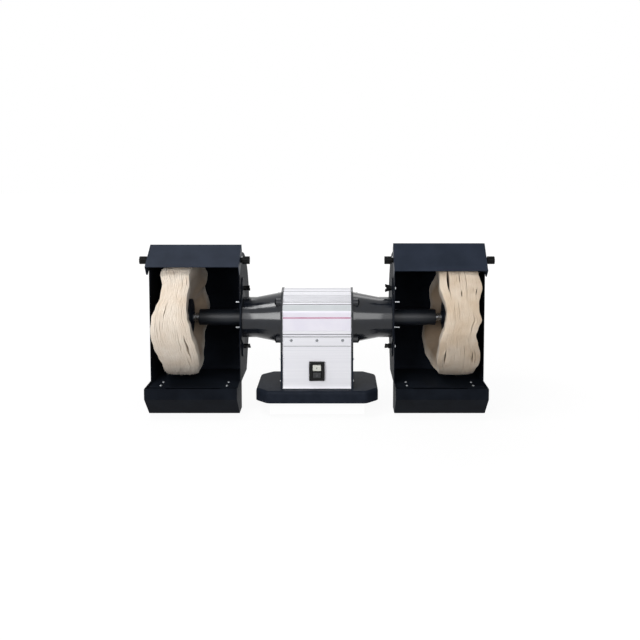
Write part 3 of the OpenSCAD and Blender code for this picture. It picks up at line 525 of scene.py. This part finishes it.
def headTree(name, shape):
    # a pan head with a cross recess, or a hexagon with its chamfer, on a plain shank
    tree, size = newTree(name, headSizes)
    if shape == "pan":
        top = addNode(tree, "ShaderNodeCombineXYZ", None, {"Z": size["headHeight"]})
        ball = addNode(tree, "GeometryNodeMeshUVSphere",
                       {"Segments": facets["domeSides"], "Rings": facets["domeRings"], "Radius": 1.0})
        squash = addNode(tree, "ShaderNodeCombineXYZ", None,
                         {"X": size["headRadius"], "Y": size["headRadius"], "Z": size["headHeight"]})
        dome = addNode(tree, "GeometryNodeTransform", None,
                       {"Geometry": ball.outputs[0], "Scale": squash.outputs[0]})
        head = addNode(tree, "GeometryNodeMeshBoolean", None, {"Mesh 1": dome.outputs[0]},
                       operation="DIFFERENCE")
        for across, along in (("trimWidth", "trimReach"), ("trimReach", "trimWidth")):
            span = addNode(tree, "ShaderNodeCombineXYZ", None,
                           {"X": size[across], "Y": size[along], "Z": size["headHeight"]})
            bar = addNode(tree, "GeometryNodeMeshCube", None, {"Size": span.outputs[0]})
            raised = addNode(tree, "GeometryNodeTransform", None,
                             {"Geometry": bar.outputs[0], "Translation": top.outputs[0]})
            tree.links.new(raised.outputs[0], head.inputs["Mesh 2"])
    else:
        rise = addNode(tree, "ShaderNodeMath", {1: 0.5}, {0: size["headHeight"]}, operation="MULTIPLY")
        middle = addNode(tree, "ShaderNodeCombineXYZ", None, {"Z": rise.outputs[0]})
        prism = addNode(tree, "GeometryNodeMeshCylinder", {"Vertices": facets["hexagon"]},
                        {"Radius": size["headRadius"], "Depth": size["headHeight"]})
        raised = addNode(tree, "GeometryNodeTransform", None,
                         {"Geometry": prism.outputs[0], "Translation": middle.outputs[0]})
        cone = addNode(tree, "GeometryNodeMeshCone", {"Vertices": facets["chamfer"]},
                       {"Radius Top": size["trimWidth"], "Radius Bottom": size["trimReach"],
                        "Depth": size["headHeight"]})
        head = addNode(tree, "GeometryNodeMeshBoolean", operation="INTERSECT")
        for part in (raised, cone):
            tree.links.new(part.outputs[0], head.inputs["Mesh 2"])
    drop = addNode(tree, "ShaderNodeMath", {1: -0.5}, {0: size["shankLength"]}, operation="MULTIPLY")
    below = addNode(tree, "ShaderNodeCombineXYZ", None, {"Z": drop.outputs[0]})
    rod = addNode(tree, "GeometryNodeMeshCylinder", {"Vertices": facets["shank"]},
                  {"Radius": size["shankRadius"], "Depth": size["shankLength"]})
    shank = addNode(tree, "GeometryNodeTransform", None,
                    {"Geometry": rod.outputs[0], "Translation": below.outputs[0]})
    whole = addNode(tree, "GeometryNodeJoinGeometry")
    for part in (head, shank):
        tree.links.new(part.outputs[0], whole.inputs[0])
    aim = addNode(tree, "GeometryNodeInputNamedAttribute", {"Name": "aim"}, data_type="FLOAT_VECTOR")
    turn = addNode(tree, "FunctionNodeAlignRotationToVector", None, {"Vector": aim.outputs["Attribute"]},
                   axis="Z")
    return closeTree(tree, size, size["Geometry"], whole.outputs[0], turn.outputs[0])


def runTree(holder, tree, values, material):
    bpy.context.scene.collection.objects.link(holder)
    sockets = {s.name: s.identifier for s in tree.interface.items_tree if s.in_out == "INPUT"}
    modifier = holder.modifiers.new("grown", "NODES")
    modifier.node_group = tree
    for name, value in values.items():
        modifier[sockets[name]] = value
    modifier[sockets["material"]] = material
    return bakeModifiers(holder)


def headPlaces(node, axis, headMm):
    # the seat of each head and the way it faces: up, or away from the middle of the machine
    places = []
    for low, high in solidBoxes(node):
        seat = (low + high) / 2
        way = 1 if axis == 2 or seat[axis] > 0 else -1
        seat[axis] = (high if way > 0 else low)[axis] - way * headMm * mm
        places.append((seat, Vector([way if i == axis else 0 for i in range(3)])))
    return places


panTree = headTree("pan_head_screw", "pan")
hexTree = headTree("hexagon_bolt", "hexagon")
largePan = (4.25, 3.25, 1.1, 4.6, 2.5, 12)
heads = {  # axis, tree, finish, slot, then the values of headSizes in mm
    "housing_screws": (1, panTree, "dullZinc", "zinc_steel", largePan),
    "side_plate_screws": (0, panTree, "zincPlate", "zinc_steel", (3.4, 2.6, 0.9, 3.6, 2, 12)),
    "tray_screws_left": (2, panTree, "dullZinc", "zinc_steel", largePan),
    "tray_screws_right": (2, panTree, "dullZinc", "zinc_steel", largePan),
    "end_bell_bolts": (0, hexTree, "blackOxide", "dark_casting", (5.1, 3.9, 4.4, 12, 3, 20)),
}
for node, (axis, tree, key, slotName, sizes) in heads.items():
    places = headPlaces(node, axis, sizes[headSizes.index("headHeight")])
    seats = bpy.data.meshes.new(node + "_seats")
    seats.from_pydata([seat for seat, aim in places], [], [])
    aims = seats.attributes.new("aim", "FLOAT_VECTOR", "POINT")
    for i, (seat, aim) in enumerate(places):
        aims.data[i].vector = aim
    holder = bpy.data.objects.new(node + "_seats", seats)
    mesh = runTree(holder, tree, {n: v * mm for n, v in zip(headSizes, sizes)}, finish[key])
    addPiece(node + "_heads", settleNormals(mesh), finish[key], nodeBody[node], slotName, node)
    print(node, "has", len(places), "heads")


# cotton buffs: loose plies, held flat at the hub, that fan out and wander at the rim

buffCotton = {
    "plies": 40, "skinPlies": 3, "steps": 190, "clampR": 50, "fanFrom": 58, "fanTo": 140, "rimR": 170.5,
    "flangeT": 7, "hubHalf": 23, "fill": 1.02, "shoulder": 5, "shoulderPower": 5, "tipDrop": 0.6,
    "tipHalf": 0.8, "bundle": 5, "bundleSway": 1.6, "plySway": 0.5, "edgeWave": 2.5, "edgePower": 3,
    # shadeDepth and skinShade: depth in mm at which the painted shade is full, and its share on the outer
    # plies
    "ragged": 0.7, "raggedSlow": 0.8, "shadeDepth": 40, "skinShade": 0.8,
    # noise: scale round the rim, step from ply to ply, and a start for each outer side
    "slowScale": 2.2, "slowStep": 3.1, "quickScale": 7.0, "quickStep": 1.7, "raggedScale": 11.0,
    "raggedStep": 2.3, "edgeScale": 3.1, "edgeStarts": (2.7, 9.1),
    "rowShares": (0.0, 0.12, 0.3, 0.48, 0.64, 0.78, 0.88, 0.96), "innerFrom": 0.64,
    # angle up from the front, sideways drift and half width of the rim in mm
    "left": ((90, 6, 44), (60, -2, 42), (42, 7, 39), (30, 4, 38), (20, -2, 42), (10, -5, 49), (0, -2, 55),
             (-10, 1, 57), (-20, 7, 58), (-32, 14, 56), (-44, 18, 53), (-60, 13, 48), (-90, 4, 46),
             (-115, 7, 47), (-133, 0, 47), (-150, -3, 47), (-162, 4, 47), (-182, 12, 47), (-205, 0, 47),
             (-225, 13, 47), (-245, 10, 46)),
    "right": ((90, 2, 54), (60, 4, 56), (42, 4, 60), (32, 3, 54), (24, 3.5, 48.5), (16, 4, 46), (8, 6, 49),
              (0, 0, 46), (-7, -6, 47), (-16, -6, 53), (-28, -3, 57), (-42, -2, 59), (-58, -1, 52),
              (-88, 0, 47), (-110, -9, 51), (-128, -20, 53), (-147, -26, 53), (-162, -21, 52),
              (-182, -3, 47), (-200, -7, 47), (-225, 8, 45), (-245, 4, 50)),
    # open folds: place across the width, angle, half length in degrees, opening in mm
    "leftFolds": ((0.64, -21, 18, 7), (-0.3, 17, 9, 3), (-0.5, -2, 14, 2), (-0.67, -3, 6, 2),
                  (0.33, -17, 18, 2), (0.79, 47, 6, 2), (-0.1, 130, 20, 6), (0.5, -140, 22, 7)),
    "rightFolds": ((-0.62, 50, 23, 9), (-0.02, 34, 5, 4.5), (-0.04, 52, 10, 2), (0.76, 36, 6, 2),
                   (-0.71, -32, 11, 5.5), (0.67, -32, 9, 4.5), (0.6, 4, 16, 2.5), (0.1, 150, 22, 7),
                   (-0.5, -130, 20, 6)),
    "foldSpread": 0.3, "seeds": {"left": 11.3, "right": 47.9},
    "finish": {"left": "freshMuslin", "right": "usedMuslin"},
}


def easeStep(v):
    v = min(1.0, max(0.0, v))
    return v * v * (3 - 2 * v)


def alongRim(stations, angle):
    # drift and half width between the stations, once round the rim
    first = stations[0][0]
    angle = first - ((first - angle) % 360)
    ring = list(stations) + [(first - 360, *stations[0][1:])]
    for (a0, d0, h0), (a1, d1, h1) in zip(ring, ring[1:]):
        if a0 >= angle >= a1:
            t = easeStep((a0 - angle) / (a0 - a1))
            return d0 + (d1 - d0) * t, h0 + (h1 - h0) * t
    return stations[0][1:]


def foldShift(folds, across, angle):
    # plies on both sides of an open fold lean away from it
    shift = 0.0
    for place, at, reach, opening in folds:
        away = abs((angle - at + 180) % 360 - 180)
        if away < reach:
            window = math.cos(math.pi / 2 * away / reach) ** 2
            way = 1 if across > place else -1
            shift += way * opening / 2 * window * math.exp(-abs(across - place) / buffCotton["foldSpread"])
    return shift


def rimNoise(dirY, dirZ, scale, level):
    return noise.noise(Vector((dirY * scale, dirZ * scale, level)))


def plyRing(side, ply, degrees, shares, middle):
    # one section through a ply: up its inner face, over the cut edge and down its outer face
    b = buffCotton
    seed = b["seeds"][side]
    across = (ply + 0.5) / b["plies"] * 2 - 1
    turn = math.radians(degrees)
    dirY, dirZ = -math.cos(turn), math.sin(turn)
    drift, half = alongRim(b[side], degrees)
    slow = rimNoise(dirY, dirZ, b["slowScale"], ply // b["bundle"] * b["slowStep"] + seed)
    quick = rimNoise(dirY, dirZ, b["quickScale"], ply * b["quickStep"] + seed)
    edge = rimNoise(dirY, dirZ, b["edgeScale"], seed + b["edgeStarts"][across > 0])
    ragged = rimNoise(dirY, dirZ, b["raggedScale"], ply * b["raggedStep"] - seed)
    rim = b["rimR"] - b["shoulder"] * abs(across) ** b["shoulderPower"]
    rim += b["ragged"] * (ragged + b["raggedSlow"] * slow)
    sway = slow * b["bundleSway"] + quick * b["plySway"]
    sway += edge * b["edgeWave"] * abs(across) ** b["edgePower"]
    sway += foldShift(b[side + "Folds"], across, degrees)
    flank = [(b["clampR"] + (b["rimR"] - b["clampR"]) * share) * rim / b["rimR"] for share in shares]
    tip = [(rim - b["tipDrop"], -b["tipHalf"]), (rim, 0.0), (rim - b["tipDrop"], b["tipHalf"])]
    spots = [(r, -1.0) for r in flank] + tip + [(r, 1.0) for r in reversed(flank)]
    ring = []
    for radius, offset in spots:
        fan = easeStep((radius - b["fanFrom"]) / (b["fanTo"] - b["fanFrom"]))
        width = b["hubHalf"] + (half - b["hubHalf"]) * fan
        x = across * width + (drift + sway) * fan + offset * width / b["plies"] * b["fill"]
        place = Vector((middle + x * mm, radius * mm * dirY, axisZ + radius * mm * dirZ))
        ring.append((place, min(1.0, (rim - radius) / b["shadeDepth"])))
    return ring


def makeBuff(side):
    b = buffCotton
    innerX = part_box("inner_flanges")[1].x
    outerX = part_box("outer_flanges")[1].x
    middle = sides[side] * (innerX + outerX - b["flangeT"] * mm) / 2
    cloth = bmesh.new()
    depthLayer = cloth.verts.layers.float.new("depth")
    for ply in range(b["plies"]):
        isSkin = min(ply, b["plies"] - 1 - ply) < b["skinPlies"]
        shares = [s for s in b["rowShares"] if isSkin or s >= b["innerFrom"]]
        rings = []
        for step in range(b["steps"]):
            rings.append([])
            for place, shade in plyRing(side, ply, 360 * step / b["steps"], shares, middle):
                vert = cloth.verts.new(place)
                vert[depthLayer] = shade * (b["skinShade"] if isSkin else 1.0)
                rings[-1].append(vert)
        for i in range(b["steps"]):
            here, after = rings[i], rings[(i + 1) % b["steps"]]
            for j in range(len(here)):
                k = (j + 1) % len(here)
                cloth.faces.new((here[j], after[j], after[k], here[k]))
    bmesh.ops.recalc_face_normals(cloth, faces=cloth.faces)
    layer = cloth.loops.layers.uv.new("cloth")
    for face in cloth.faces:
        for loop in face.loops:
            loop[layer].uv = (loop.vert.co.y, loop.vert.co.z)
    mesh = bpy.data.meshes.new("buff_plies_" + side)
    cloth.to_mesh(mesh)
    cloth.free()
    mesh.shade_smooth()
    return addPiece("buff_plies_" + side, mesh, finish[b["finish"][side]], "rotor", "cotton", "buff_" + side)


fray = {"density": 4000, "edgeDepth": 0.02, "threadRadius": 0.16 * mm, "threadLength": 5 * mm,
        "threadLift": 2 * mm}
fraySeeds = {"left": 5, "right": 8}
threadShape = {"bends": 5, "sides": 3, "tilt": 0.4, "turn": 6.28}


def threadTree():
    # loose ends of thread that stand out of the cut edge of the plies
    tree, size = newTree("frayed_threads", (*fray, "seed"))
    depth = addNode(tree, "GeometryNodeInputNamedAttribute", {"Name": "depth"}, data_type="FLOAT")
    onEdge = addNode(tree, "FunctionNodeCompare", None,
                     {"A": depth.outputs["Attribute"], "B": size["edgeDepth"]},
                     data_type="FLOAT", operation="LESS_THAN")
    spots = addNode(tree, "GeometryNodeDistributePointsOnFaces", None,
                    {"Mesh": size["Geometry"], "Selection": onEdge.outputs[0], "Density": size["density"],
                     "Seed": size["seed"]})
    lifted = addNode(tree, "ShaderNodeCombineXYZ", None, {"X": size["threadLift"], "Z": size["threadLift"]})
    reach = addNode(tree, "ShaderNodeCombineXYZ", None, {"X": size["threadLength"]})
    line = addNode(tree, "GeometryNodeCurveQuadraticBezier",
                   {"Resolution": threadShape["bends"], "Start": (0, 0, 0)},
                   {"Middle": lifted.outputs[0], "End": reach.outputs[0]})
    yarn = addNode(tree, "GeometryNodeCurvePrimitiveCircle", {"Resolution": threadShape["sides"]},
                   {"Radius": size["threadRadius"]})
    thread = addNode(tree, "GeometryNodeCurveToMesh", {"Fill Caps": True},
                     {"Curve": line.outputs[0], "Profile Curve": yarn.outputs[0]})
    lean = threadShape["tilt"]
    spin = addNode(tree, "FunctionNodeRandomValue",
                   {"Min": (-lean, -lean, 0), "Max": (lean, lean, threadShape["turn"])},
                   {"Seed": size["seed"]}, data_type="FLOAT_VECTOR")
    tilt = addNode(tree, "FunctionNodeEulerToRotation", None, {0: spin.outputs[0]})
    turn = addNode(tree, "FunctionNodeRotateRotation", None,
                   {"Rotation": spots.outputs["Rotation"], "Rotate By": tilt.outputs[0]},
                   rotation_space="LOCAL")
    return closeTree(tree, size, spots.outputs["Points"], thread.outputs[0], turn.outputs[0])


frayTree = threadTree()
for side in sides:
    plies = makeBuff(side)
    yarn = finish[buffCotton["finish"][side]]
    holder = bpy.data.objects.new("fray_" + side, plies.data.copy())
    threads = runTree(holder, frayTree, {**fray, "seed": fraySeeds[side]}, yarn)
    addPiece("buff_threads_" + side, threads, yarn, "rotor", "cotton")
    print("buff", side, "has", len(plies.data.polygons), "faces and", len(threads.polygons), "on threads")


# studio: paper floor and plinth, soft lamps, camera

# the floor drops clear of the trays where the hoods are at their lowest
studio = {"floorSize": 30.0, "floorDrop": 6 * mm, "floorThick": 0.02, "plinthIn": 0.04, "plinthGap": 0.0002,
          "nearTo": 0.6, "farFrom": 2.5, "liftNear": 0.93, "liftFar": 1.0, "fill": 0.12}


def backgroundRays(tree):
    # what looks straight at the background, and what sees it in metal, paint or glass
    ray = addNode(tree, "ShaderNodeLightPath").outputs
    mirrored = addNode(tree, "ShaderNodeMath", None,
                       {0: ray["Is Glossy Ray"], 1: ray["Is Transmission Ray"]}, operation="MAXIMUM")
    seen = addNode(tree, "ShaderNodeMath", None,
                   {0: ray["Is Camera Ray"], 1: mirrored.outputs[0]}, operation="MAXIMUM")
    return seen.outputs[0]


def liftPaper(material):
    # the paper reads as white to the eye, more so far away, and still takes the shadow
    tree = material.node_tree
    shader = tree.nodes["Principled BSDF"]
    place = addNode(tree, "ShaderNodeTexCoord").outputs["Object"]
    away = addNode(tree, "ShaderNodeVectorMath", None, {0: place}, operation="LENGTH")
    level = addNode(tree, "ShaderNodeMapRange",
                    {"From Min": studio["nearTo"], "From Max": studio["farFrom"],
                     "To Min": studio["liftNear"], "To Max": studio["liftFar"]},
                    {"Value": away.outputs["Value"]})
    lift = addNode(tree, "ShaderNodeMath", None, {0: backgroundRays(tree), 1: level.outputs[0]},
                   operation="MULTIPLY")
    shader.inputs["Emission Color"].default_value = (1, 1, 1, 1)
    tree.links.new(lift.outputs[0], shader.inputs["Emission Strength"])


def stageBlock(name, low, high, material):
    block = bmesh.new()
    bmesh.ops.create_cube(block, size=1.0)
    for v in block.verts:
        v.co = Vector([low[i] + (v.co[i] + 0.5) * (high[i] - low[i]) for i in range(3)])
    mesh = bpy.data.meshes.new(name)
    block.to_mesh(mesh)
    block.free()
    mesh.materials.append(material)
    stand = bpy.data.objects.new(name, mesh)
    bpy.context.scene.collection.objects.link(stand)


liftPaper(finish["paper"])
half = studio["floorSize"] / 2
floorZ = cadLow.z - studio["floorDrop"]
inset = studio["plinthIn"]
stageBlock("studio_floor", (-half, -half, floorZ - studio["floorThick"]), (half, half, floorZ),
           finish["paper"])
stageBlock("studio_plinth", (baseLow.x + inset, baseLow.y + inset, floorZ),
           (baseHigh.x - inset, baseHigh.y - inset, baseLow.z - studio["plinthGap"]), finish["paper"])


def makeWorld():
    # white to the eye and in reflections, and a low fill light on the object
    world = bpy.data.worlds.new("studio_world")
    bpy.context.scene.world = world
    world.use_nodes = True
    tree = world.node_tree
    back = tree.nodes["Background"]
    level = addNode(tree, "ShaderNodeMix",
                    {mixSocket["floatA"]: studio["fill"], mixSocket["floatB"]: studio["liftFar"]},
                    {mixSocket["factor"]: backgroundRays(tree)}, data_type="FLOAT")
    tree.links.new(level.outputs[0], back.inputs["Strength"])
    back.inputs["Color"].default_value = (1, 1, 1, 1)


makeWorld()

lamps = {  # place, target, size in x and y, power in watts
    "front_softbox": ((-0.05, -3.3, 1.27), (-0.05, 0, 1.27), (1.9, 2.0), 19),
    "left_softbox": ((-1.65, -3.3, 1.27), (-1.65, 0, 1.27), (1.1, 2.0), 68),
    "right_softbox": ((1.55, -3.3, 1.27), (1.55, 0, 1.27), (1.1, 2.0), 38),
    "left_overhead": ((-0.95, -0.7, 2.3), (-0.3, 0, 0.35), (1.0, 0.5), 20),
    "rear_softbox": ((0.3, 2.3, 3.0), (0, 0, 0.3), (2.4, 1.2), 20),
}
for name, (place, target, size, watts) in lamps.items():
    data = bpy.data.lights.new(name, "AREA")
    data.shape = "RECTANGLE"
    data.size, data.size_y = size
    data.energy = watts
    lamp = bpy.data.objects.new(name, data)
    bpy.context.scene.collection.objects.link(lamp)
    lamp.location = place
    lamp.rotation_euler = (Vector(target) - Vector(place)).to_track_quat("-Z", "Y").to_euler()
    lamp.visible_camera = False

view = {"place": (0.0562, -2.397, 0.702), "pitchDown": 4.28, "lens": 45.34, "sensor": 36,
        "shift": (-0.0253, -0.15625)}
lensData = bpy.data.cameras.new("photo_view")
lensData.lens = view["lens"]
lensData.sensor_width = view["sensor"]
lensData.shift_x, lensData.shift_y = view["shift"]
photoCamera = bpy.data.objects.new("photo_view", lensData)
bpy.context.scene.collection.objects.link(photoCamera)
photoCamera.location = view["place"]
photoCamera.rotation_euler = (math.radians(90 - view["pitchDown"]), 0, 0)
bpy.context.scene.camera = photoCamera
bpy.context.scene.view_settings.view_transform = "Standard"
print("studio ready")
